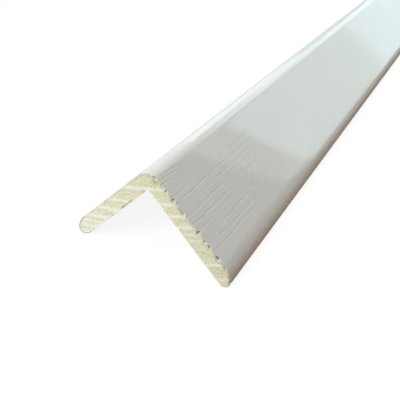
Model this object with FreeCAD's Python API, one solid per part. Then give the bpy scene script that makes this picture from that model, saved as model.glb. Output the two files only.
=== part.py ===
import FreeCAD, Part
import math
import os

# Corner guard moulding: one strip of planed pine with an L-shaped section, painted on its show
# faces, that is glued or pinned over an outside wall corner. It lies as it does on a floor, on the
# tips of its two legs with the nose up. X is across, Y along the strip and Z up; the origin is on
# the floor under the middle of the strip. All sizes are in millimetres.

# Stock
STOCK_LENGTH = 1220.0
LEG_WIDTH = 30.0
LEG_THICKNESS = 4.0

# Rounded edges of the section
NOSE_RADIUS = 3.2
INNER_CORNER_RADIUS = 0.5
TIP_EASE_LENGTH = 4.5
TIP_EASE_DEPTH = 2.8
TIP_BACK_RADIUS = 1.0

# The two legs slope at 45 degrees, so a step along either leg counts this much across and down.
SLOPE = math.sqrt(0.5)

# The strip rests on the rounded back edges of its tips, which sets how high the sharp outer corner is.
CORNER_HEIGHT = (LEG_WIDTH + LEG_THICKNESS - 2 * TIP_BACK_RADIUS) * SLOPE + TIP_BACK_RADIUS


def section_point(right, left):
    """The point that lies the given steps along the right and left legs from the sharp outer corner."""
    across = (right - left) * SLOPE
    height = CORNER_HEIGHT - (right + left) * SLOPE
    return FreeCAD.Vector(across, -STOCK_LENGTH / 2, height)


def straight(start, end):
    return Part.LineSegment(start, end).toShape()


def round_corner(start, corner, end):
    """A quarter circle from start to end that rounds off a square corner."""
    centre = start + end - corner
    radius = (start - centre).Length
    towards_corner = (corner - centre).normalize()
    return Part.Arc(start, centre + towards_corner * radius, end).toShape()


def eased_corner(start, corner, end):
    """A quarter ellipse from start to end: the conic whose middle pole is the square corner."""
    conic = Part.BezierCurve()
    conic.setPoles([start, corner, end])
    conic.setWeight(2, SLOPE)
    return conic.toShape()


def leg_outline(at):
    """The edges of one leg from nose to inner corner; at(along, into) places a point of the leg."""
    tip_back = LEG_THICKNESS - TIP_BACK_RADIUS
    ease_start = at(LEG_WIDTH - TIP_EASE_LENGTH, 0)
    ease_end = at(LEG_WIDTH, TIP_EASE_DEPTH)
    back_start = at(LEG_WIDTH, tip_back)
    back_end = at(LEG_WIDTH - TIP_BACK_RADIUS, LEG_THICKNESS)
    return [
        straight(at(NOSE_RADIUS, 0), ease_start),
        eased_corner(ease_start, at(LEG_WIDTH, 0), ease_end),
        straight(ease_end, back_start),
        round_corner(back_start, at(LEG_WIDTH, LEG_THICKNESS), back_end),
        straight(back_end, at(LEG_THICKNESS + INNER_CORNER_RADIUS, LEG_THICKNESS)),
    ]


def right_leg(along, into):
    return section_point(along, into)


def left_leg(along, into):
    return section_point(into, along)


def section():
    """The closed L-shaped outline of the strip, at its near end."""
    inner_reach = LEG_THICKNESS + INNER_CORNER_RADIUS
    inner_corner = round_corner(
        right_leg(inner_reach, LEG_THICKNESS),
        section_point(LEG_THICKNESS, LEG_THICKNESS),
        left_leg(inner_reach, LEG_THICKNESS),
    )
    nose = round_corner(left_leg(NOSE_RADIUS, 0), section_point(0, 0), right_leg(NOSE_RADIUS, 0))
    left_edges = leg_outline(left_leg)
    left_edges.reverse()
    return Part.Wire([*leg_outline(right_leg), inner_corner, *left_edges, nose])


def corner_moulding():
    """The section run along the whole stock length, with both ends cut square."""
    return Part.Face(section()).extrude(FreeCAD.Vector(0, STOCK_LENGTH, 0))


os.makedirs("parts", exist_ok=True)
corner_moulding().exportStep("parts/corner_moulding.step")
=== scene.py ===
"""Dresses the corner guard moulding: one strip of pine with white satin paint on its show faces.

The strip is one closed mesh. Its section is the solid's own, with what the planer left on this strip.
The grain that shows through the paint, the splintered edge of the saw cut and the torn end grain are
shape too. Lengths are in millimetres until a mesh, lamp or camera is made, unless a comment says metres.
"""

import math

import bpy
import numpy as np
from mathutils import Matrix, Vector
from mathutils.geometry import delaunay_2d_cdt


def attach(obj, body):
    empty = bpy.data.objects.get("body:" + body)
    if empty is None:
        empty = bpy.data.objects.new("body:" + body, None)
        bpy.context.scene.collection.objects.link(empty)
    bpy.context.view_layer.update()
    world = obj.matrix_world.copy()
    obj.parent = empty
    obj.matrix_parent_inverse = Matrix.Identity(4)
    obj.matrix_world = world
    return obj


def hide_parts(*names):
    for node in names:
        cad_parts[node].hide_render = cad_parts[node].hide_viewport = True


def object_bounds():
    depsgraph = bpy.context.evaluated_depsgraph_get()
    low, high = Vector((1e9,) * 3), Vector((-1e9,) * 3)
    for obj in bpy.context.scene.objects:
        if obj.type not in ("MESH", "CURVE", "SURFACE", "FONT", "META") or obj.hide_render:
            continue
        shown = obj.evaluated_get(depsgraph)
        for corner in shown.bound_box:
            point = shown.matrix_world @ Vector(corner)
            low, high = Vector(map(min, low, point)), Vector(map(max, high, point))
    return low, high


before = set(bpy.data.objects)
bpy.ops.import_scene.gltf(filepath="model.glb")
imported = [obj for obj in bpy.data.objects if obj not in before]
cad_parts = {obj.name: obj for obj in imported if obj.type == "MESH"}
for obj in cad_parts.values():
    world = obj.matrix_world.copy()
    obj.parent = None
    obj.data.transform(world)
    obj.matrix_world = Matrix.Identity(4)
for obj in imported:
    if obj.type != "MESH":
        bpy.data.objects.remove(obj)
cad_low, cad_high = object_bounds()

MM = 0.001

# Seeds of the random parts
GRAIN_SEED = 20
NEAR_CUT_SEED = 21
FAR_CUT_SEED = 22
PAINT_EDGE_SEED = 23
NEAR_CAP_SEED = 25
FAR_CAP_SEED = 26

# Section, as in the solid
LEG_WIDTH = 30.0
LEG_THICKNESS = 4.0
NOSE_RADIUS = 3.2
INNER_CORNER_RADIUS = 0.5
SLOPE = math.sqrt(0.5)
TIP_BACK_RADIUS = 1.0
CORNER_HEIGHT = (LEG_WIDTH + LEG_THICKNESS - 2 * TIP_BACK_RADIUS) * SLOPE + TIP_BACK_RADIUS

# What the planer left on each leg: how far along and how deep the tip is eased in front and at its back,
# and how far the inner face lies off the nominal thickness at the inner corner and at the tip
RIGHT_LEG = dict(ease=(5.2, 2.75), back=(1.35, 1.35), corner_off=-0.36, tip_off=0.2)
LEFT_LEG = dict(ease=(4.5, 2.3), back=(2.9, 1.5), corner_off=-0.36, tip_off=-0.05)

NEAR_END = cad_low.y / MM
LENGTH = (cad_high.y - cad_low.y) / MM

# Columns of the mesh round each leg, from the middle of the nose to the middle of the inner corner.
# Each count is even, as the plain run of the strip keeps every second column.
PIECES = ("nose", "face", "ease", "tip", "back", "inner", "corner")
SHOW_PIECES = ("nose", "face", "ease")
TIP_PIECES = ("ease", "tip", "back")
PAINTED_PIECES = ("nose", "face", "ease", "tip", "back")
RIGHT_CELLS = dict(nose=26, face=220, ease=28, tip=2, back=8, inner=36, corner=4)
LEFT_CELLS = dict(nose=12, face=90, ease=20, tip=2, back=12, inner=60, corner=4)
SHARP_EDGE = 40.0

# Distances of the mesh's rings: the first ones from the cut, even steps over the grain and a little
# further, then steps that grow to the far run, where they grow again from the far end
CUT_RINGS = (0.15, 0.35, 0.6, 0.9, 1.3, 1.8)
GRAIN_RUN = 40.0
GRAIN_STEP = 0.6
FINE_RUN = 60.0
FINE_STEP = 1.0
STEP_GROWTH = 1.15
LONGEST_STEP = 14.0
FAR_RUN = 60.0
FAR_STEP_GROWTH = 1.2
FAR_STEP_ADDED = 0.2
FAR_LONGEST_STEP = 12.0

# Growth rings are circles round a pith outside the strip, as (across, up from the sharp outer corner).
# Each pale band has a radius and a strength.
PITH = (-31.45, 116.14)
PALE_BANDS = (
    (125.4, 0.8),
    (128.8, 0.75),
    (131.5, 0.85),
    (134.1, 0.9),
    (135.8, 0.6),
    (137.3, 0.55),
    (139.2, 0.3),
    (141.7, 0.4),
    (143.0, 1.0),
    (146.6, 0.5),
)
BAND_HALF_WIDTH = 0.75

# Grain lines that show through the paint of the right leg near the cut: millimetres down the leg at
# the start and the end, millimetres from the cut at the start and the end, and strength
GRAIN_LINES = (
    (1.61, 1.71, 5.6, 7.6, 0.25),
    (2.83, 3.45, 0.8, 8.2, 1.35),
    (3.6, 3.81, 0.0, 5.2, 0.95),
    (3.91, 4.14, 4.2, 7.0, 0.75),
    (4.56, 4.74, 0.0, 4.0, 1.15),
    (7.94, 8.02, 0.0, 6.4, 1.15),
    (8.06, 8.11, 6.7, 7.9, 0.3),
    (8.06, 8.06, 21.0, 22.8, 0.35),
    (8.01, 7.91, 25.0, 37.0, 0.75),
    (9.6, 9.43, 0.0, 14.0, 1.0),
    (9.9, 9.95, 14.3, 16.9, 0.6),
    (9.47, 9.65, 17.0, 22.7, 0.9),
    (9.77, 9.57, 23.5, 37.5, 0.75),
    (11.42, 11.39, 6.2, 8.2, 0.7),
    (11.29, 11.16, 8.5, 12.8, 0.9),
    (11.52, 11.59, 12.4, 16.9, 0.5),
    (11.06, 11.34, 14.0, 24.0, 0.9),
    (11.34, 11.09, 24.0, 34.8, 0.8),
    (12.58, 12.55, 4.4, 6.7, 0.5),
    (12.98, 13.05, 0.0, 3.0, 0.6),
    (13.05, 13.08, 2.2, 16.9, 1.0),
    (13.32, 13.34, 18.2, 20.9, 0.55),
    (12.53, 12.63, 22.2, 27.4, 0.3),
    (12.73, 12.79, 27.8, 38.6, 0.7),
    (14.56, 14.77, 20.8, 33.0, 0.9),
    (14.96, 15.26, 0.0, 18.7, 1.0),
    (16.6, 16.85, 0.3, 6.4, 0.8),
    (16.7, 16.7, 9.2, 16.0, 0.3),
    (16.4, 16.45, 33.2, 38.6, 0.35),
    (18.24, 18.49, 21.8, 27.0, 0.7),
    (18.58, 19.03, 27.2, 41.5, 0.1),
    (19.18, 18.98, 7.6, 22.6, 0.85),
    (20.37, 20.47, 1.9, 3.4, 0.4),
    (20.52, 20.77, 4.0, 8.4, 1.2),
    (20.92, 21.07, 9.6, 27.6, 1.0),
    (20.92, 20.82, 27.6, 43.0, 0.3),
    (20.22, 20.27, 22.2, 27.2, 0.45),
    (22.01, 22.65, 0.0, 29.6, 0.6),
    (22.6, 22.55, 29.6, 41.0, 0.25),
    (25.04, 25.43, 10.8, 26.0, 0.55),
)
# Depth and half width of a line of strength 1, the share of that depth that the weakest line has, how it
# tapers at its ends, at most and as a share of its length, and how far and how often it wanders
GRAIN_DEPTH = 0.047
GRAIN_HALF_WIDTH = 0.115
LEAST_GRAIN_DEPTH = 0.35
LONGEST_TAPER = 1.2
TAPER_SHARE = 0.3
GRAIN_WANDER = 0.1
RINGS_PER_BEND = 2.5

# The grooves of the lines get painted shade. Further from the cut the paint fills the lines, and the
# painted shade grows. Low on the leg they are deeper. Each change has the distance that it starts at, the
# run that it takes and its share.
FILLED_FROM = 14.0
FILLED_OVER = 12.0
FILLED_SHARE = 0.55
DEEPER_FROM = 14.0
DEEPER_OVER = 5.0
DEEPER_SHARE = 0.1
LINE_SHADE = 0.5
FILLED_LINE_SHADE = 0.6
MOST_LINE_SHADE = 1.5

# Faint lines on the rest of each leg: count, half width, where the first can start, and the ranges of
# their length, place down the leg, drift and depth
PLAIN_GRAIN_COUNT = 90
PLAIN_GRAIN_HALF_WIDTH = 0.3
PLAIN_GRAIN_RIGHT_START = 48.0
PLAIN_GRAIN_LEFT_START = -20.0
PLAIN_GRAIN_LENGTH = (20.0, 140.0)
PLAIN_GRAIN_PLACE = (2.0, 27.0)
PLAIN_GRAIN_DRIFT = (-0.4, 0.4)
PLAIN_GRAIN_DEPTH = (0.1, 0.35)

# Chips that the saw tore out of the right leg's outer edge: millimetres down the leg, half width,
# how far they run along the face, how far into the thickness, and how much painted shadow darkens the
# upper end of the chip over its torn fibres
EDGE_CHIPS = (
    (2.95, 0.85, 0.2, 0.3, 0.3),
    (4.8, 0.5, 0.25, 0.3, 0.15),
    (6.3, 0.55, 0.4, 0.3, 0.2),
    (8.5, 0.6, 0.65, 0.4, 0.6),
    (9.8, 0.35, 0.3, 0.2, 0.1),
    (11.8, 0.65, 0.65, 0.4, 0.65),
    (14.5, 0.45, 0.4, 0.25, 0.15),
    (16.8, 0.7, 0.75, 0.4, 0.5),
    (19.3, 0.6, 0.5, 0.6, 0.5),
    (20.8, 0.4, 0.35, 0.3, 0.2),
    (23.6, 0.9, 0.6, 0.45, 1.5),
    (26.3, 0.5, 0.3, 0.3, 0.7),
    (28.5, 0.6, 0.3, 0.35, 1.0),
    (29.4, 0.4, 0.2, 0.3, 0.8),
)
# Dark torn fibres along the inner edge of the left leg: millimetres down the leg, and half width
INNER_BURRS = ((5.2, 0.7), (9.9, 0.8), (12.3, 1.4), (17.6, 0.3))

# Brown stains in the end grain: millimetres down the right and the left leg, radius, and strength
STAINS = (
    (3.2, 0.9, 1.15, 0.62),
    (4.1, 1.6, 0.5, 0.3),
    (19.1, 1.1, 0.4, 0.4),
    (3.4, 10.1, 0.4, 0.4),
    (3.6, 13.1, 0.4, 0.4),
)

# Paint film: its thickness, the thicker film on the left tip, how much of it is broken off at a cut, and
# the width of its broken rim
PAINT_FILM = 0.14
LEFT_TIP_FILM = 0.24
BROKEN_FILM = 0.03
FILM_BREAK = 0.04

# Paint that runs over the back edge of a tip: how far from the tip, how much and how often that varies,
# and the width of its fade
PAINT_WRAP = 2.4
WRAP_VARIES = 0.6
RINGS_PER_WRAP_BEND = 6
WRAP_FADE = 0.9


def smooth_step(value):
    """0 below 0 and 1 above 1, with a soft rise between."""
    value = np.clip(value, 0.0, 1.0)
    return value * value * (3 - 2 * value)


def leg_path(cells, leg, other_off, first):
    """One leg's outline as (along the leg, into its thickness), its outward normals and piece numbers.

    first is 0 to leave out the last point of each piece and 1 to leave out its first.
    """
    ease_length, ease_depth = leg["ease"]
    back_length, back_depth = leg["back"]
    own_corner = LEG_THICKNESS + leg["corner_off"]
    other_corner = LEG_THICKNESS + other_off
    tip_thickness = LEG_THICKNESS + leg["tip_off"]
    points = []
    normals = []
    kinds = []
    for kind, name in enumerate(PIECES):
        step = (np.arange(cells[name]) + first) / cells[name]
        turn = step * math.pi / 2
        flat = np.zeros_like(step)
        ahead = flat + 1
        if name == "nose":
            angle = (1 - step) * math.pi / 4
            normal = np.stack([-np.sin(angle), -np.cos(angle)], 1)
            point = NOSE_RADIUS * (1 + normal)
        elif name == "face":
            reach = LEG_WIDTH - ease_length - NOSE_RADIUS
            point = np.stack([NOSE_RADIUS + step * reach, flat], 1)
            normal = np.stack([flat, -ahead], 1)
        elif name == "ease":
            along = LEG_WIDTH - ease_length * (1 - np.sin(turn))
            point = np.stack([along, ease_depth * (1 - np.cos(turn))], 1)
            normal = np.stack([np.sin(turn) / ease_length, -np.cos(turn) / ease_depth], 1)
            normal /= np.linalg.norm(normal, axis=1, keepdims=True)
        elif name == "tip":
            drop = tip_thickness - back_depth - ease_depth
            point = np.stack([flat + LEG_WIDTH, ease_depth + step * drop], 1)
            normal = np.stack([ahead, flat], 1)
        elif name == "back":
            along = LEG_WIDTH - back_length * (1 - np.cos(turn))
            point = np.stack([along, tip_thickness - back_depth * (1 - np.sin(turn))], 1)
            normal = np.stack([np.cos(turn) / back_length, np.sin(turn) / back_depth], 1)
            normal /= np.linalg.norm(normal, axis=1, keepdims=True)
        elif name == "inner":
            start = LEG_WIDTH - back_length
            reach = start - other_corner - INNER_CORNER_RADIUS
            depth = tip_thickness + (own_corner - tip_thickness) * step
            point = np.stack([start - step * reach, depth], 1)
            normal = np.stack([flat, ahead], 1)
        else:
            normal = np.stack([np.sin(turn / 2), np.cos(turn / 2)], 1)
            point = np.array([other_corner, own_corner]) + INNER_CORNER_RADIUS * (1 - normal)
        points.append(point)
        normals.append(normal)
        kinds.append(np.full(len(step), kind))
    return np.concatenate(points), np.concatenate(normals), np.concatenate(kinds)


class Outline:
    """The closed section: right leg from nose to inner corner, then the left leg back to the nose."""

    def __init__(self):
        right, right_normal, right_kind = leg_path(RIGHT_CELLS, RIGHT_LEG, LEFT_LEG["corner_off"], 0)
        left, left_normal, left_kind = leg_path(LEFT_CELLS, LEFT_LEG, RIGHT_LEG["corner_off"], 1)
        left, left_normal, left_kind = left[::-1], left_normal[::-1], left_kind[::-1]
        self.count = len(right) + len(left)
        self.is_right = np.arange(self.count) < len(right)
        self.along = np.concatenate([right[:, 0], left[:, 0]])
        self.kind = np.concatenate([right_kind, left_kind])
        # Points and normals as (down the right leg, down the left leg)
        self.point = np.concatenate([right, left[:, ::-1]])
        self.normal = np.concatenate([right_normal, left_normal[:, ::-1]])

    def on(self, *names):
        return np.isin(self.kind, [PIECES.index(name) for name in names])


def section_to_world(point):
    """(across, up) of points given as (down the right leg, down the left leg)."""
    right, left = point[..., 0], point[..., 1]
    return np.stack([(right - left) * SLOPE, CORNER_HEIGHT - (right + left) * SLOPE], -1)


def ring_radius(point):
    """How far a section point lies from the pith."""
    pith = np.array([PITH[0], PITH[1] + CORNER_HEIGHT])
    return np.linalg.norm(section_to_world(point) - pith, axis=-1)


def wander(rng, count, span):
    """A smooth random line of count values from -1 to 1, with bends about span values apart."""
    knots = rng.uniform(-1, 1, max(int(count / span) + 2, 2))
    at = np.linspace(0, len(knots) - 1, count)
    low = np.minimum(at.astype(int), len(knots) - 2)
    share = smooth_step(at - low)
    return knots[low] * (1 - share) + knots[low + 1] * share


def stations():
    """Distances from the near end of the mesh's rings, and how many of them are in the fine run."""
    near = list(CUT_RINGS)
    while near[-1] < FINE_RUN:
        near.append(near[-1] + (GRAIN_STEP if near[-1] < GRAIN_RUN else FINE_STEP))
    fine_count = len(near)
    step = FINE_STEP
    while near[-1] < LENGTH - FAR_RUN:
        step = min(step * STEP_GROWTH, LONGEST_STEP)
        near.append(near[-1] + step)
    far = [CUT_RINGS[0]]
    while LENGTH - far[-1] - near[-1] > LONGEST_STEP:
        far.append(far[-1] + min(far[-1] * FAR_STEP_GROWTH + FAR_STEP_ADDED, FAR_LONGEST_STEP))
    return np.array(near + [LENGTH - at for at in reversed(far)]), fine_count


def all_grain_lines(rng):
    """Each line as (is on the right leg, half width, weight of its painted shade, place down the leg at its
    start and its end, distance from the cut at its start and its end, depth)."""
    lines = []
    for from_leg, to_leg, start, end, strength in GRAIN_LINES:
        depth = LEAST_GRAIN_DEPTH + (1 - LEAST_GRAIN_DEPTH) * strength
        lines.append((True, GRAIN_HALF_WIDTH, 1.0, from_leg, to_leg, start, end, depth))
    for is_right, first_start in ((True, PLAIN_GRAIN_RIGHT_START), (False, PLAIN_GRAIN_LEFT_START)):
        for _ in range(PLAIN_GRAIN_COUNT):
            start = rng.uniform(first_start, LENGTH)
            end = start + rng.uniform(*PLAIN_GRAIN_LENGTH)
            at = rng.uniform(*PLAIN_GRAIN_PLACE)
            drift = rng.uniform(*PLAIN_GRAIN_DRIFT)
            depth = rng.uniform(*PLAIN_GRAIN_DEPTH)
            lines.append((is_right, PLAIN_GRAIN_HALF_WIDTH, 0.0, at, at + drift, start, end, depth))
    return lines


def grain_relief(outline, along_strip):
    """How far the painted faces are sunk at each ring and column by the grain, and how much painted shade
    darkens its grooves.
    """
    rng = np.random.default_rng(GRAIN_SEED)
    sunk = np.zeros((len(along_strip), outline.count))
    shaded = np.zeros_like(sunk)
    show = outline.on(*SHOW_PIECES)
    for is_right, half_width, shade_weight, from_leg, to_leg, start, end, depth in all_grain_lines(rng):
        rows = np.flatnonzero((along_strip >= start) & (along_strip <= end))
        columns = np.flatnonzero(show & (outline.is_right == is_right))
        if not len(rows):
            continue
        run = along_strip[rows]
        share = (run - start) / (end - start)
        taper_run = min(LONGEST_TAPER, TAPER_SHARE * (end - start))
        taper = np.minimum(1, (end - run) / taper_run)
        if start > 0:
            taper = np.minimum(taper, (run - start) / taper_run)
        bends = GRAIN_WANDER * wander(rng, len(rows), RINGS_PER_BEND)
        middle = from_leg + (to_leg - from_leg) * share + bends
        away = outline.along[columns][None, :] - middle[:, None]
        groove = depth * np.exp(-((away / half_width) ** 2)) * smooth_step(taper)[:, None]
        filled = shade_weight * smooth_step((run - FILLED_FROM) / FILLED_OVER)[:, None]
        low_on_leg = shade_weight * float(smooth_step((from_leg - DEEPER_FROM) / DEEPER_OVER))
        deeper = (1 + DEEPER_SHARE * low_on_leg) * (1 - FILLED_SHARE * filled)
        sunk[np.ix_(rows, columns)] += GRAIN_DEPTH * groove * deeper
        # Painted shade that darkens the paint in the grooves
        shaded[np.ix_(rows, columns)] += groove * (LINE_SHADE * shade_weight + FILLED_LINE_SHADE * filled)
    return sunk, np.clip(shaded, 0, MOST_LINE_SHADE)


# Edge of a saw cut: how far even its clean parts are broken, how ragged the right leg's outer edge is in
# short and long bends, and what that adds along the strip, into the thickness and to the dark of the fibres
CLEAN_BREAK = 0.02
SHORT_RAGS = 0.55
SHORT_RAG_COLUMNS = 4
LONG_RAGS = 0.45
LONG_RAG_COLUMNS = 11
RAG_LIFT = 0.25
RAG_BACK = 0.5
RAG_INTO = 0.22
EDGE_TORN = 0.26
RAG_TORN = 0.25
BARE_BREAK = 0.09
# Shape of a chip or a burr over its half width, how much it varies, and what a burr breaks away
CHIP_FLAT = 1.15
CHIP_POWER = 1.6
# Dark of a chip's torn fibres, and where along the chip the painted shadow of its upper end fades out
CHIP_TORN = 0.32
CHIP_UPPER_SHARE = 0.5
BURR_FLAT = 1.2
BURR_POWER = 2
BURR_INTO = 0.12
BURR_BACK = 0.25
JITTER_LEAST = 0.75
JITTER_VARIES = 0.25
COLUMNS_PER_JITTER = 2.5


class SawCut:
    """One cut end: how far each column is broken back along the strip and into the thickness."""

    def __init__(self, outline, seed, chips, burrs):
        rng = np.random.default_rng(seed)
        count = outline.count
        edge = outline.is_right & outline.on(*SHOW_PIECES)
        short_rags = SHORT_RAGS * wander(rng, count, SHORT_RAG_COLUMNS)
        ragged = short_rags + LONG_RAGS * wander(rng, count, LONG_RAG_COLUMNS)
        ragged = np.where(edge, np.clip(ragged + RAG_LIFT, 0, 1), 0)
        self.back = CLEAN_BREAK + RAG_BACK * ragged
        self.into = CLEAN_BREAK + RAG_INTO * ragged
        self.torn_and_shadow = np.where(edge, EDGE_TORN + RAG_TORN * ragged, 0)
        jitter = JITTER_LEAST + JITTER_VARIES * wander(rng, count, COLUMNS_PER_JITTER)
        for at, half, along, deep, dark in chips:
            away = (outline.along - at) / half
            chip = np.where(edge, np.clip(CHIP_FLAT - np.abs(away) ** CHIP_POWER, 0, 1), 0) * jitter
            # Painted shadow in the upper end of each chip, over the dark of its torn fibres
            upper = smooth_step(CHIP_UPPER_SHARE - away)
            self.back += along * chip
            self.into += deep * chip
            self.torn_and_shadow = np.maximum(self.torn_and_shadow, chip * (CHIP_TORN + dark * upper))
        self.bare = edge | (self.back > BARE_BREAK)
        self.burr = np.zeros(count)
        inner = ~outline.is_right & outline.on("inner", "corner")
        for at, half in burrs:
            away = (outline.along - at) / half
            burr = np.where(inner, np.clip(BURR_FLAT - np.abs(away) ** BURR_POWER, 0, 1), 0) * jitter
            self.burr = np.maximum(self.burr, burr)
        self.into += BURR_INTO * self.burr
        self.back += BURR_BACK * self.burr


# Rings of the mesh over the broken edge: share of the way back along the strip, share of the depth
# that is left, and share of the dark of the torn wood and its painted shadow
BREAK_RINGS = ((0.0, 1.0, 0.35), (0.35, 0.75, 0.7), (0.7, 0.45, 1.0), (1.0, 0.0, 1.0))
LIP = 0.03
LIP_DARK = 0.3
# How far along the strip the mesh's rings follow the shape of the broken edge
BREAK_FADE = 3.0


def cut_rings(outline, cut, painted):
    """The rings over one cut's broken edge, from the cut inwards."""
    rings = []
    shown = painted * (1 - cut.bare)
    none = np.zeros(outline.count)
    for back, into, dark in BREAK_RINGS:
        sunk = cut.into * into + BROKEN_FILM * cut.bare
        torn_and_shadow = np.maximum(cut.torn_and_shadow * cut.bare, cut.burr) * dark
        rings.append((cut.back * back, sunk, shown, torn_and_shadow, none))
    rings.append((cut.back + LIP, none, painted, LIP_DARK * cut.burr, none))
    return rings


def strip_rows(outline, near, far):
    """All rings as (along the strip, sunk, cover, torn fibres and painted shadow, painted shade of the
    grain grooves), and the number of the first coarse one.
    """
    middle, fine_count = stations()
    painted = outline.on(*PAINTED_PIECES).astype(float)
    none = np.zeros(outline.count)
    rows = cut_rings(outline, near, painted)
    first_coarse = len(rows) + fine_count
    from_near = np.clip(1 - middle / BREAK_FADE, 0, 1) ** 2
    from_far = np.clip(1 - (LENGTH - middle) / BREAK_FADE, 0, 1) ** 2
    relief, shaded = grain_relief(outline, middle)
    rng = np.random.default_rng(PAINT_EDGE_SEED)
    wrap = PAINT_WRAP + WRAP_VARIES * wander(rng, len(middle), RINGS_PER_WRAP_BEND)
    inner = outline.on("inner")
    for at, base in enumerate(middle):
        along = base + from_near[at] * near.back - from_far[at] * far.back
        feather = smooth_step((outline.along - (LEG_WIDTH - wrap[at])) / WRAP_FADE)
        rows.append((along, relief[at], np.where(inner, feather, painted), none, shaded[at]))
    for along, *rest in reversed(cut_rings(outline, far, painted)):
        rows.append((LENGTH - along, *rest))
    return rows, first_coarse


def build_strip(outline):
    """Vertices, faces and surface values of the strip."""
    near = SawCut(outline, NEAR_CUT_SEED, EDGE_CHIPS, INNER_BURRS)
    far = SawCut(outline, FAR_CUT_SEED, (), ())
    rows, first_coarse = strip_rows(outline, near, far)
    along, sunk, cover, torn_and_shadow, groove = (np.array(part) for part in zip(*rows))
    point = outline.point[None] - outline.normal[None] * sunk[..., None]
    place = np.empty(along.shape + (3,))
    place[..., [0, 2]] = section_to_world(point)
    place[..., 1] = NEAR_END + along
    film = np.zeros(along.shape)
    film[[0, -1]] = film_shade(outline)
    kept = np.ones(along.shape, bool)
    kept[first_coarse:, 1::2] = False
    index = np.full(along.shape, -1)
    index[kept] = np.arange(kept.sum())

    faces = skin(index, first_coarse)
    vertices = [place[kept]]
    surface = dict(radius=ring_radius(point), cover=cover, torn_and_shadow=torn_and_shadow, film=film, groove=groove)
    values = {name: [value[kept]] for name, value in surface.items()}
    total = len(vertices[0])
    for cut, ring, is_far in ((near, 0, False), (far, len(rows) - 1, True)):
        used = kept[ring]
        made = cap(outline, cut, used, point[ring][used], index[ring][used], total, is_far)
        vertices.append(made["place"])
        faces.extend(made["faces"])
        for name in values:
            values[name].append(made[name])
        total += len(made["place"])
    values = {name: np.concatenate(parts) for name, parts in values.items()}
    return np.concatenate(vertices), faces, values


def skin(index, first_coarse):
    """Faces between the rings; from ring first_coarse on, only every second column is there."""
    faces = []
    for ring in range(len(index) - 1):
        here, there = index[ring], index[ring + 1]
        if ring + 1 == first_coarse:
            there = there[::2]
            left, middle, right = here[::2], here[1::2], np.roll(here[::2], -1)
            ahead = np.roll(there, -1)
            faces.extend(zip(left.tolist(), middle.tolist(), there.tolist()))
            faces.extend(zip(middle.tolist(), ahead.tolist(), there.tolist()))
            faces.extend(zip(middle.tolist(), right.tolist(), ahead.tolist()))
            continue
        if ring >= first_coarse:
            here, there = here[::2], there[::2]
        right, ahead = np.roll(here, -1), np.roll(there, -1)
        faces.extend(zip(here.tolist(), right.tolist(), ahead.tolist(), there.tolist()))
    return faces


# Sheet of end grain over a cut: spacing of its points, how far they stray and stay off the paint film as
# shares of that, and how deep it is torn everywhere, between the pale bands and in pits
NEAR_CAP_PITCH = 0.2
FAR_CAP_PITCH = 0.45
GRID_STRAYS = 0.35
GRID_MARGIN = 0.3
JOIN_DISTANCE = 1e-6
END_DEPTH = 0.02
SOFT_DEPTH = 0.03
PIT_DEPTH = 0.12
PIT_POWER = 3
FILM_DEPTH_SHARE = 0.2
# The dark of a chip, which is torn fibres and painted shadow, and of a burr over the end grain: its reach,
# how many times that it has ended at, and its share there
CHIP_REACH = 0.6
CHIP_END = 1.1
CHIP_SHARE = 0.5
BURR_REACH = 0.5
BURR_END = 1.25
# Dark specks of torn-fibre colour and painted shade in the deeper pits: everywhere, more of them far down
# the right leg, and round a rough spot under the nose
SPECKS = 0.1
RIGHT_SPECKS = 0.18
RIGHT_SPECKS_FROM = 6.0
RIGHT_SPECKS_OVER = 8.0
ROUGH_SPOT = (2.8, 3.2)
ROUGH_REACH = 4.5
ROUGH_SPECKS = 0.12
# A stain or rough spot has ended at this many times its reach, and a stain is part even and part specks
SPOT_END = 1.2
STAIN_EVEN = 0.4
STAIN_SPECKS = 0.6


def cap(outline, cut, used, edge, edge_index, first_new, is_far):
    """The end grain of one cut: a fine sheet of triangles inside its edge, torn between the rings."""
    rng = np.random.default_rng(FAR_CAP_SEED if is_far else NEAR_CAP_SEED)
    count = len(edge)
    new = cap_points(outline, used, edge, FAR_CAP_PITCH if is_far else NEAR_CAP_PITCH, rng)
    radius = ring_radius(new)
    soft = 1 - pale_share(radius)
    pits = rng.uniform(0, 1, len(new)) ** PIT_POWER
    depth = END_DEPTH + SOFT_DEPTH * soft + PIT_DEPTH * pits * soft
    depth[:2 * count] *= FILM_DEPTH_SHARE
    place = np.empty((len(new), 3))
    place[:, [0, 2]] = section_to_world(new)
    place[:, 1] = NEAR_END + (LENGTH - depth if is_far else depth)
    index = np.concatenate([edge_index, first_new + np.arange(len(new))])
    cover = np.zeros(len(new))
    cover[:count] = outline.on(*PAINTED_PIECES)[used] & ~cut.bare[used]
    film = np.zeros(len(new))
    film[:count] = film_shade(outline)[used]
    return dict(
        place=place,
        faces=cap_faces(edge, new, index, is_far),
        radius=radius,
        cover=cover,
        torn_and_shadow=cap_torn_and_shadow(cut, used, edge, new, soft, pits, () if is_far else STAINS),
        film=film,
        groove=np.zeros(len(new)),
    )


def cap_points(outline, used, edge, pitch, rng):
    """Section points inside a cut's edge: the film's inner side, its broken rim, then a straying grid."""
    normal = outline.normal[used]
    left_tip = ~outline.is_right & outline.on(*TIP_PIECES)
    thickness = np.where(left_tip, LEFT_TIP_FILM, PAINT_FILM)[used][:, None]
    film = edge - normal * thickness
    rim = edge - normal * (thickness + FILM_BREAK)
    reach = np.arange(0, LEG_WIDTH, pitch)
    right, left = np.meshgrid(reach, reach, indexing="ij")
    grid = np.stack([right.ravel(), left.ravel()], 1)
    grid = grid + rng.uniform(-GRID_STRAYS, GRID_STRAYS, grid.shape) * pitch
    margin = LEFT_TIP_FILM + FILM_BREAK + GRID_MARGIN * pitch
    return np.concatenate([film, rim, grid[inside(grid, edge, margin)]])


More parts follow.
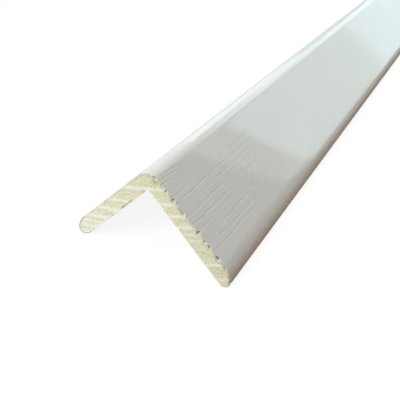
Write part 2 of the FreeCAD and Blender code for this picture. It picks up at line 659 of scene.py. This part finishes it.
def cap_faces(edge, new, index, is_far):
    """Triangles between the edge and the new points, as vertex numbers, facing out of the strip."""
    flat = [Vector(point) for point in np.concatenate([edge, new]).tolist()]
    count = len(edge)
    loop = [(at, (at + 1) % count) for at in range(count)]
    places, _, triangles, sources, _, _ = delaunay_2d_cdt(flat, loop, [], 1, JOIN_DISTANCE)
    index = [int(index[source[0]]) for source in sources]
    faces = []
    for triangle in triangles:
        first, second, third = (places[at] for at in triangle)
        turn = (second - first).cross(third - first)
        order = triangle if (turn < 0) != is_far else triangle[::-1]
        faces.append(tuple(index[at] for at in order))
    return faces


def cap_torn_and_shadow(cut, used, edge, new, soft, pits, stains):
    """How dark the end grain is at each new point: by chips with their painted shadow, burrs, specks of
    painted shade in the deeper pits, and stains.
    """
    gap = np.linalg.norm(new[:, None, :] - edge[None, ::2, :], axis=-1)
    nearest = gap.argmin(1) * 2
    gap = gap.min(1)
    chipped = cut.torn_and_shadow[used][nearest] * smooth_step(CHIP_END - gap / CHIP_REACH) * CHIP_SHARE
    burred = cut.burr[used][nearest] * smooth_step(BURR_END - gap / BURR_REACH)
    rough = spot(new, ROUGH_SPOT, ROUGH_REACH)
    on_right = smooth_step((new[:, 0] - RIGHT_SPECKS_FROM) / RIGHT_SPECKS_OVER)
    # Specks of painted shade, darker where the pits are deeper
    specks = pits * (soft * (SPECKS + RIGHT_SPECKS * on_right) + ROUGH_SPECKS * rough)
    specks = specks * (gap > PAINT_FILM + FILM_BREAK)
    stained = np.zeros(len(new))
    for right_at, left_at, reach, strength in stains:
        stain = spot(new, (right_at, left_at), reach)
        stained += strength * stain * (STAIN_EVEN + STAIN_SPECKS * pits)
    return np.clip(chipped + burred + specks + stained, 0, 1)


def spot(points, middle, reach):
    """1 in the middle of a soft round spot and 0 outside it."""
    away = np.linalg.norm(points - np.array(middle), axis=1)
    return smooth_step(SPOT_END - away / reach)


FILM_DULL = 1.0
FILM_BRIGHT = 0.1


def film_shade(outline):
    """How dull the cut edge of the paint is: dull grey round the tips and bright along the faces."""
    return np.where(outline.on(*TIP_PIECES), FILM_DULL, FILM_BRIGHT)


def pale_share(radius):
    """How much of a pale band there is at each distance from the pith."""
    share = np.zeros_like(radius)
    for centre, strength in PALE_BANDS:
        share = np.maximum(share, strength * np.clip(1 - np.abs(radius - centre) / BAND_HALF_WIDTH, 0, 1))
    return share


def inside(points, edge, margin):
    """True for the section points that lie further than margin inside the outline."""
    crossed = np.zeros(len(points), bool)
    for start, end in zip(edge, np.roll(edge, -1, 0)):
        if start[1] == end[1]:
            continue
        spans = (start[1] > points[:, 1]) != (end[1] > points[:, 1])
        at = start[0] + (points[:, 1] - start[1]) / (end[1] - start[1]) * (end[0] - start[0])
        crossed ^= spans & (points[:, 0] < at)
    kept = np.flatnonzero(crossed)
    gap = np.zeros(len(points))
    for at in kept:
        gap[at] = math.sqrt(((edge - points[at]) ** 2).sum(1).min())
    return gap > margin


def add_object(name, data):
    made = bpy.data.objects.new(name, data)
    bpy.context.scene.collection.objects.link(made)
    return made


def add_strip(material):
    vertices, faces, values = build_strip(Outline())
    mesh = bpy.data.meshes.new("corner_moulding_dressed")
    mesh.from_pydata((vertices * MM).tolist(), [], faces)
    for name, value in values.items():
        layer = mesh.attributes.new(name, "FLOAT", "POINT")
        layer.data.foreach_set("value", value.astype(np.float32))
    mesh.materials.append(material)
    mesh.polygons.foreach_set("use_smooth", np.ones(len(mesh.polygons), bool))
    mesh.set_sharp_from_angle(angle=math.radians(SHARP_EDGE))
    mesh.update()
    strip = add_object("corner_moulding_dressed", mesh)
    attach(strip, "root")
    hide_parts("corner_moulding")


# Materials

PAINT_COLOUR = (0.824, 0.829, 0.793, 1)
# Grey of the painted shade in the grooves of the grain lines
GROOVE_SHADE_COLOUR = (0.38, 0.37, 0.34, 1)
FILM_COLOUR = (0.44, 0.44, 0.43, 1)
PALE_WOOD = (0.845, 0.90, 0.835, 1)
STRAW_WOOD = (0.742, 0.782, 0.636, 1)
FLECK_WOOD = (0.52, 0.45, 0.23, 1)
# Bare wood darkens towards these with torn fibres, painted shadow in the chips and painted shade in the
# pits
TORN_WOOD = (0.34, 0.28, 0.13, 1)
DARKEST_TORN_AND_SHADOW = (0.19, 0.15, 0.12, 1)
# The wood yellows across the section: metres across from the middle, and the tint there
WOOD_TINTS = (
    (-0.017, (1.0, 1.0, 1.0, 1)),
    (-0.005, (0.956, 0.937, 0.874, 1)),
    (0.005, (0.928, 0.908, 0.83, 1)),
    (0.010, (0.892, 0.868, 0.808, 1)),
    (0.018, (0.86, 0.84, 0.79, 1)),
)

# Noise is drawn out along the strip for the wood's fibres.
FIBRE_STRETCH = (1, 0.02, 1)
# Growth rings wobble by part of a millimetre. Pale bands keep some of their own colour and hide flecks.
RING_WOBBLE = 1.2
RING_WOBBLE_SCALE = 450
RING_RAMP_MARGIN = 4.0
PALE_KEEPS = 0.45
FLECK_SCALE = 3000
FLECK_NOISE = (0.54, 0.7)
FLECK_SHARE = 0.55
PALE_HIDES = 0.5
# Where the torn fibres and painted shadow turn to the darkest colour
DARKEST_TORN_AND_SHADOW_FROM = 0.7
# Paint: faint clouds, and painted shade in the grooves of the grain lines
CLOUD_SCALE = 60
CLOUD_NOISE = (0.3, 0.7)
CLOUD_SHADE = 0.97
GRAIN_SHADE_SHARE = 0.19
# Fine relief: fibres that show through, and fine grit. The height is in metres.
FIBRE_SCALE = 2200
FIBRE_SHARE = 0.7
GRIT_SCALE = 4500
GRIT_SHARE = 0.3
RELIEF_STRENGTH = 0.03
RELIEF_HEIGHT = 0.0004
# Gloss: bare wood is matt, and the paint has a thin clear shine
WOOD_ROUGHNESS = 0.85
PAINT_SMOOTHER = 0.42
SHINE = 0.13
SHINE_IOR = 2.5
SHINE_ROUGHNESS = 0.06


class Nodes:
    """Short calls for building one material's nodes."""

    def __init__(self, tree):
        self.tree = tree
        tree.nodes.clear()

    def add(self, kind, settings=None, **inputs):
        node = self.tree.nodes.new(kind)
        for name, value in (settings or {}).items():
            setattr(node, name, value)
        for name, value in inputs.items():
            numbered = name.startswith("in") and name[2:].isdigit()
            key = int(name[2:]) if numbered else name.replace("_", " ")
            self.feed(node.inputs[key], value)
        return node

    def feed(self, socket, value):
        if isinstance(value, bpy.types.NodeSocket):
            self.tree.links.new(value, socket)
        else:
            socket.default_value = value

    def math(self, operation, first, second):
        return self.add("ShaderNodeMath", dict(operation=operation), in0=first, in1=second).outputs[0]

    def mix(self, share, first, second, blend="MIX"):
        node = self.add("ShaderNodeMix", dict(data_type="RGBA", blend_type=blend))
        self.feed(node.inputs["Factor"], share)
        self.feed(node.inputs[6], first)
        self.feed(node.inputs[7], second)
        return node.outputs[2]

    def map_range(self, value, low, high):
        """The value as a share of the way from low to high."""
        return self.add("ShaderNodeMapRange", Value=value, From_Min=low, From_Max=high).outputs[0]

    def attribute(self, name):
        return self.add("ShaderNodeAttribute", dict(attribute_name=name)).outputs["Fac"]

    def ramp(self, value, stops):
        node = self.add("ShaderNodeValToRGB", Fac=value)
        elements = node.color_ramp.elements
        while len(elements) < len(stops):
            elements.new(0.5)
        for element, (at, colour) in zip(elements, stops):
            element.position = at
            element.color = colour
        return node.outputs["Color"]

    def noise(self, vector, scale, detail):
        return self.add("ShaderNodeTexNoise", Vector=vector, Scale=scale, Detail=detail).outputs["Fac"]


def grey(value):
    return (value, value, value, 1)


def ring_stops():
    """Stops of a ramp over the rings' radius that is white in the pale bands and black between them."""
    low = PALE_BANDS[0][0] - RING_RAMP_MARGIN
    high = PALE_BANDS[-1][0] + RING_RAMP_MARGIN
    stops = []
    for radius, strength in PALE_BANDS:
        stops.append((radius - BAND_HALF_WIDTH, 0.0))
        stops.append((radius, strength))
        stops.append((radius + BAND_HALF_WIDTH, 0.0))
    stops.sort()
    return low, high, [((radius - low) / (high - low), grey(value)) for radius, value in stops]


def pale_band_share(n, fibre):
    """1 in the pale bands of the growth rings and 0 between them."""
    low, high, stops = ring_stops()
    wobble = n.math("SUBTRACT", n.noise(fibre, RING_WOBBLE_SCALE, 3), 0.5)
    radius = n.math("ADD", n.attribute("radius"), n.math("MULTIPLY", wobble, RING_WOBBLE))
    return n.ramp(n.map_range(radius, low, high), stops)


def wood_colour(n, place, fibre):
    """Bare wood: growth rings, a tint that changes across the strip, flecks, and torn fibres with painted
    shadow in the chips and painted shade in the pits.
    """
    pale = pale_band_share(n, fibre)
    wood = n.mix(pale, STRAW_WOOD, PALE_WOOD)
    first, last = WOOD_TINTS[0][0], WOOD_TINTS[-1][0]
    across = n.add("ShaderNodeSeparateXYZ", Vector=place).outputs["X"]
    stops = [((at - first) / (last - first), tint) for at, tint in WOOD_TINTS]
    tint = n.ramp(n.map_range(across, first, last), stops)
    tint = n.mix(n.math("MULTIPLY", pale, PALE_KEEPS), tint, grey(1.0))
    wood = n.mix(1.0, wood, tint, "MULTIPLY")
    none_at, full_at = FLECK_NOISE
    fleck = n.ramp(n.noise(fibre, FLECK_SCALE, 1), ((none_at, grey(0.0)), (full_at, grey(1.0))))
    shown = n.math("SUBTRACT", FLECK_SHARE, n.math("MULTIPLY", pale, PALE_HIDES))
    wood = n.mix(n.math("MULTIPLY", fleck, shown), wood, FLECK_WOOD)
    # Torn fibres, painted shadow in the chips and painted shade in the pits
    torn_and_shadow = n.attribute("torn_and_shadow")
    wood = n.mix(torn_and_shadow, wood, TORN_WOOD)
    return n.mix(n.map_range(torn_and_shadow, DARKEST_TORN_AND_SHADOW_FROM, 1.0), wood, DARKEST_TORN_AND_SHADOW)


def paint_colour(n, place):
    """Paint: faintly clouded, dull where the cut shows the film's edge, and darker with painted shade in
    the grain lines.
    """
    dark_at, clear_at = CLOUD_NOISE
    stops = ((dark_at, grey(CLOUD_SHADE)), (clear_at, grey(1.0)))
    cloud = n.ramp(n.noise(place, CLOUD_SCALE, 3), stops)
    paint = n.mix(n.attribute("film"), PAINT_COLOUR, FILM_COLOUR)
    paint = n.mix(1.0, paint, cloud, "MULTIPLY")
    # Painted shade in the grooves of the grain lines
    shade_weight = n.math("MULTIPLY", n.attribute("groove"), GRAIN_SHADE_SHARE)
    return n.mix(shade_weight, paint, GROOVE_SHADE_COLOUR)


def fine_relief(n, place, fibre):
    """The normal of a surface with faint fibres and grit."""
    fibres = n.math("MULTIPLY", n.noise(fibre, FIBRE_SCALE, 2), FIBRE_SHARE)
    grit = n.math("MULTIPLY", n.noise(place, GRIT_SCALE, 1), GRIT_SHARE)
    height = n.math("ADD", fibres, grit)
    bump = n.add("ShaderNodeBump", Height=height, Strength=RELIEF_STRENGTH, Distance=RELIEF_HEIGHT)
    return bump.outputs["Normal"]


def painted_pine():
    material = bpy.data.materials.new("painted_pine")
    material.use_nodes = True
    n = Nodes(material.node_tree)
    place = n.add("ShaderNodeTexCoord").outputs["Object"]
    fibre = n.add("ShaderNodeMapping", Vector=place, Scale=FIBRE_STRETCH).outputs["Vector"]
    cover = n.attribute("cover")
    shader = n.add(
        "ShaderNodeBsdfPrincipled",
        Base_Color=n.mix(cover, wood_colour(n, place, fibre), paint_colour(n, place)),
        Roughness=n.math("SUBTRACT", WOOD_ROUGHNESS, n.math("MULTIPLY", cover, PAINT_SMOOTHER)),
        Normal=fine_relief(n, place, fibre),
        Specular_IOR_Level=0.0,
        Coat_Weight=n.math("MULTIPLY", cover, SHINE),
        Coat_IOR=SHINE_IOR,
        Coat_Roughness=SHINE_ROUGHNESS,
    )
    n.add("ShaderNodeOutputMaterial", Surface=shader.outputs[0])
    return material


# Stage: the floor's size in metres, its colour for light that bounces, and what the camera and the gloss
# see of it, which is a white glow and a grey that takes the shadow
FLOOR_HALF = 4.0
FLOOR_BOUNCE = (0.38, 0.215, 0.07, 1)
FLOOR_GLOW = 0.90
FLOOR_SHADE = 0.12
WORLD_COLOUR = (1.0, 0.9, 0.8, 1)
WORLD_STRENGTH = 0.16


def seen_share(n):
    """1 for rays from the camera, a mirror or glass, and 0 for light that bounces about."""
    path = n.add("ShaderNodeLightPath")
    share = n.math("MAXIMUM", path.outputs["Is Camera Ray"], path.outputs["Is Glossy Ray"])
    return n.math("MAXIMUM", share, path.outputs["Is Transmission Ray"])


def add_floor():
    half = FLOOR_HALF
    corners = [(-half, -half, 0), (half, -half, 0), (half, half, 0), (-half, half, 0)]
    mesh = bpy.data.meshes.new("floor")
    mesh.from_pydata(corners, [], [(0, 1, 2, 3)])
    material = bpy.data.materials.new("floor")
    material.use_nodes = True
    n = Nodes(material.node_tree)
    bounce = n.add("ShaderNodeBsdfDiffuse", Color=FLOOR_BOUNCE).outputs[0]
    shadow = n.add("ShaderNodeBsdfDiffuse", Color=grey(FLOOR_SHADE)).outputs[0]
    white = n.add("ShaderNodeEmission", Color=grey(1.0), Strength=FLOOR_GLOW).outputs[0]
    pale = n.add("ShaderNodeAddShader", in0=shadow, in1=white).outputs[0]
    both = n.add("ShaderNodeMixShader", in0=seen_share(n), in1=bounce, in2=pale).outputs[0]
    n.add("ShaderNodeOutputMaterial", Surface=both)
    mesh.materials.append(material)
    add_object("floor", mesh)


def add_world():
    world = bpy.data.worlds.new("studio")
    bpy.context.scene.world = world
    world.use_nodes = True
    n = Nodes(world.node_tree)
    dim = n.add("ShaderNodeBackground", Color=WORLD_COLOUR, Strength=WORLD_STRENGTH).outputs[0]
    white = n.add("ShaderNodeBackground", Color=grey(1.0), Strength=1.0).outputs[0]
    both = n.add("ShaderNodeMixShader", in0=seen_share(n), in1=dim, in2=white).outputs[0]
    n.add("ShaderNodeOutputWorld", Surface=both)


# The sharp outer corner of the cut, which lamps and the camera are placed from
CUT_CORNER = Vector((0, NEAR_END, CORNER_HEIGHT))


def face_lamp(lamp, towards):
    """Turns a lamp's back to the way towards it, so that it shines at the strip."""
    lamp.rotation_mode = "QUATERNION"
    lamp.rotation_quaternion = Vector(towards).to_track_quat("Z", "Y")


# Two suns that show in no gloss: a wide one over the near end, and a weak one low beyond the far end.
# Each has the way towards it, a strength, a colour and a width in degrees.
SUNS = (
    ("key", (-0.125, -0.748, 0.654), 3.32, (0.95, 1.0, 1.05), 35.0),
    ("far_fill", (0.0, 0.999, 0.035), 1.3, (1.0, 0.97, 0.93), 4.0),
)


def add_sun(name, towards, strength, colour, width):
    lamp = bpy.data.lights.new(name, "SUN")
    lamp.energy = strength
    lamp.color = colour
    lamp.angle = math.radians(width)
    sun = add_object(name, lamp)
    face_lamp(sun, towards)
    sun.visible_glossy = False


# Left lamp: place from the corner of the cut, watts, and size in metres
LEFT_LAMP_FROM_CORNER = (-80.0, -20.0, 64.0)
LEFT_LAMP_WATTS = 0.026
LEFT_LAMP_SIZE = 0.06


def add_left_lamp():
    """A weak lamp close to the near end, that whitens the nose there."""
    lamp = bpy.data.lights.new("left_lamp", "AREA")
    lamp.size = LEFT_LAMP_SIZE
    lamp.energy = LEFT_LAMP_WATTS
    left = add_object("left_lamp", lamp)
    left.location = (CUT_CORNER + Vector(LEFT_LAMP_FROM_CORNER)) * MM
    face_lamp(left, LEFT_LAMP_FROM_CORNER)
    left.visible_camera = False


# Window panes behind the strip, which only show in its gloss: metres from the corner of the cut to the
# pane's middle, the way from the strip to it that it is square to, the lean of its sides in degrees,
# width and height in metres, width and height of the notch in its upper left corner, and brightness
# beside the white background's 1
TOWARDS_RIGHT_PANES = (0.364, 0.900, 0.238)
TOWARDS_BACK_PANE = (-0.347, 0.860, 0.371)
NO_NOTCH = (0.0, 0.0)
PANES = (
    dict(
        name="pane_wide",
        middle=(0.974, 5.673, 1.823),
        towards=TOWARDS_RIGHT_PANES,
        lean=4.8,
        size=(4.28, 3.68),
        notch=(0.75, 0.95),
        radiance=(2.27, 2.50, 2.39),
    ),
    dict(
        name="pane_near",
        middle=(0.857, 5.629, 1.332),
        towards=TOWARDS_RIGHT_PANES,
        lean=11.9,
        size=(3.82, 3.55),
        notch=(0.69, 1.28),
        radiance=(2.60, 4.10, 4.20),
    ),
    dict(
        name="pane_far",
        middle=(0.471, 5.815, 0.365),
        towards=TOWARDS_RIGHT_PANES,
        lean=29.6,
        size=(2.55, 3.42),
        notch=NO_NOTCH,
        radiance=(1.80, 2.40, 3.10),
    ),
    dict(
        name="pane_top",
        middle=(0.187, 5.137, 3.110),
        towards=TOWARDS_RIGHT_PANES,
        lean=-17.0,
        size=(2.70, 0.92),
        notch=NO_NOTCH,
        radiance=(0.50, 2.20, 2.70),
    ),
    dict(
        name="pane_back",
        middle=(-2.237, 5.421, 2.339),
        towards=TOWARDS_BACK_PANE,
        lean=-45.0,
        size=(1.66, 3.20),
        notch=NO_NOTCH,
        radiance=(4.3, 4.3, 4.2),
    ),
)


def add_pane(name, middle, towards, lean, size, notch, radiance):
    """The pane as one lamp over its whole width, and one beside the notch if it has one."""
    away = Vector(towards).normalized()
    level = away.cross(Vector((0, 0, 1))).normalized()
    upright = Matrix((-level, level.cross(away), away)).transposed().to_4x4()
    place = Matrix.Translation(CUT_CORNER * MM + Vector(middle))
    place = place @ upright @ Matrix.Rotation(math.radians(-lean), 4, "Z")
    width, height = size
    notch_width, notch_height = notch
    add_pane_lamp(name, place, (0, -notch_height / 2), width, height - notch_height, radiance)
    if notch_height:
        beside = (notch_width / 2, (height - notch_height) / 2)
        add_pane_lamp(name + "_beside_notch", place, beside, width - notch_width, notch_height, radiance)


def add_pane_lamp(name, place, shift, width, height, radiance):
    """A flat, even lamp that only shows in the gloss. place is its pane's, and shift its own in it."""
    lamp = bpy.data.lights.new(name, "AREA")
    lamp.shape = "RECTANGLE"
    lamp.size = width
    lamp.size_y = height
    lamp.color = [share / max(radiance) for share in radiance]
    lamp.energy = max(radiance) * math.pi * width * height
    pane = add_object(name, lamp)
    pane.matrix_world = place @ Matrix.Translation((*shift, 0))
    pane.visible_camera = False
    pane.visible_diffuse = False


# The pale table top mirrors the windows beside the strip's right edge, which only shows in its gloss:
# millimetres across to the left side of each patch of light, and brightness beside the background's 1
TABLE_GLOWS = (
    ("glow_wide", 26.5, (1.55, 1.52, 1.46)),
    ("glow_narrow", 34.0, (3.00, 2.97, 2.88)),
)
GLOW_RIGHT_SIDE = 250.0
GLOW_FROM_CUT = 90.0
GLOW_HEIGHT = 0.5


def add_table_glow(name, left_side, radiance):
    """A patch of light that lies face up beside the strip, from a little past the cut to the far end."""
    width = GLOW_RIGHT_SIDE - left_side
    run = LENGTH - GLOW_FROM_CUT
    middle = Vector((left_side + width / 2, NEAR_END + GLOW_FROM_CUT + run / 2, GLOW_HEIGHT))
    facing_up = Matrix.Translation(middle * MM) @ Matrix.Rotation(math.pi, 4, "X")
    add_pane_lamp(name, facing_up, (0, 0), width * MM, run * MM, radiance)


# Camera, from the photograph's edges: place from the corner of the cut, turns in degrees, focal length
# and picture width in pixels, sensor width in millimetres, and the nearest distance it sees in metres
CAMERA_FROM_CORNER = (52.27, -76.55, 52.28)
CAMERA_YAW = -27.652
CAMERA_PITCH = -32.941
CAMERA_ROLL = 1.504
FOCAL_PIXELS = 528.37
IMAGE_PIXELS = 400
SENSOR_WIDTH = 36.0
CLIP_START = 0.005


def add_camera():
    yaw, pitch, roll = (math.radians(turn) for turn in (CAMERA_YAW, CAMERA_PITCH, CAMERA_ROLL))
    ahead = Vector((math.sin(yaw), math.cos(yaw), 0))
    forward = ahead * math.cos(pitch) + Vector((0, 0, math.sin(pitch)))
    level = Vector((math.cos(yaw), -math.sin(yaw), 0))
    upright = level.cross(forward)
    right = level * math.cos(roll) + upright * math.sin(roll)
    up = upright * math.cos(roll) - level * math.sin(roll)
    camera = add_object("camera", bpy.data.cameras.new("camera"))
    turned = Matrix((right, up, -forward)).transposed().to_4x4()
    camera.matrix_world = Matrix.Translation((CUT_CORNER + Vector(CAMERA_FROM_CORNER)) * MM) @ turned
    camera.data.sensor_width = SENSOR_WIDTH
    camera.data.lens = FOCAL_PIXELS / IMAGE_PIXELS * SENSOR_WIDTH
    camera.data.clip_start = CLIP_START
    bpy.context.scene.camera = camera


bpy.context.scene.view_settings.view_transform = "Standard"
add_strip(painted_pine())
add_floor()
add_world()
for sun in SUNS:
    add_sun(*sun)
add_left_lamp()
for pane in PANES:
    add_pane(**pane)
for glow in TABLE_GLOWS:
    add_table_glow(*glow)
add_camera()
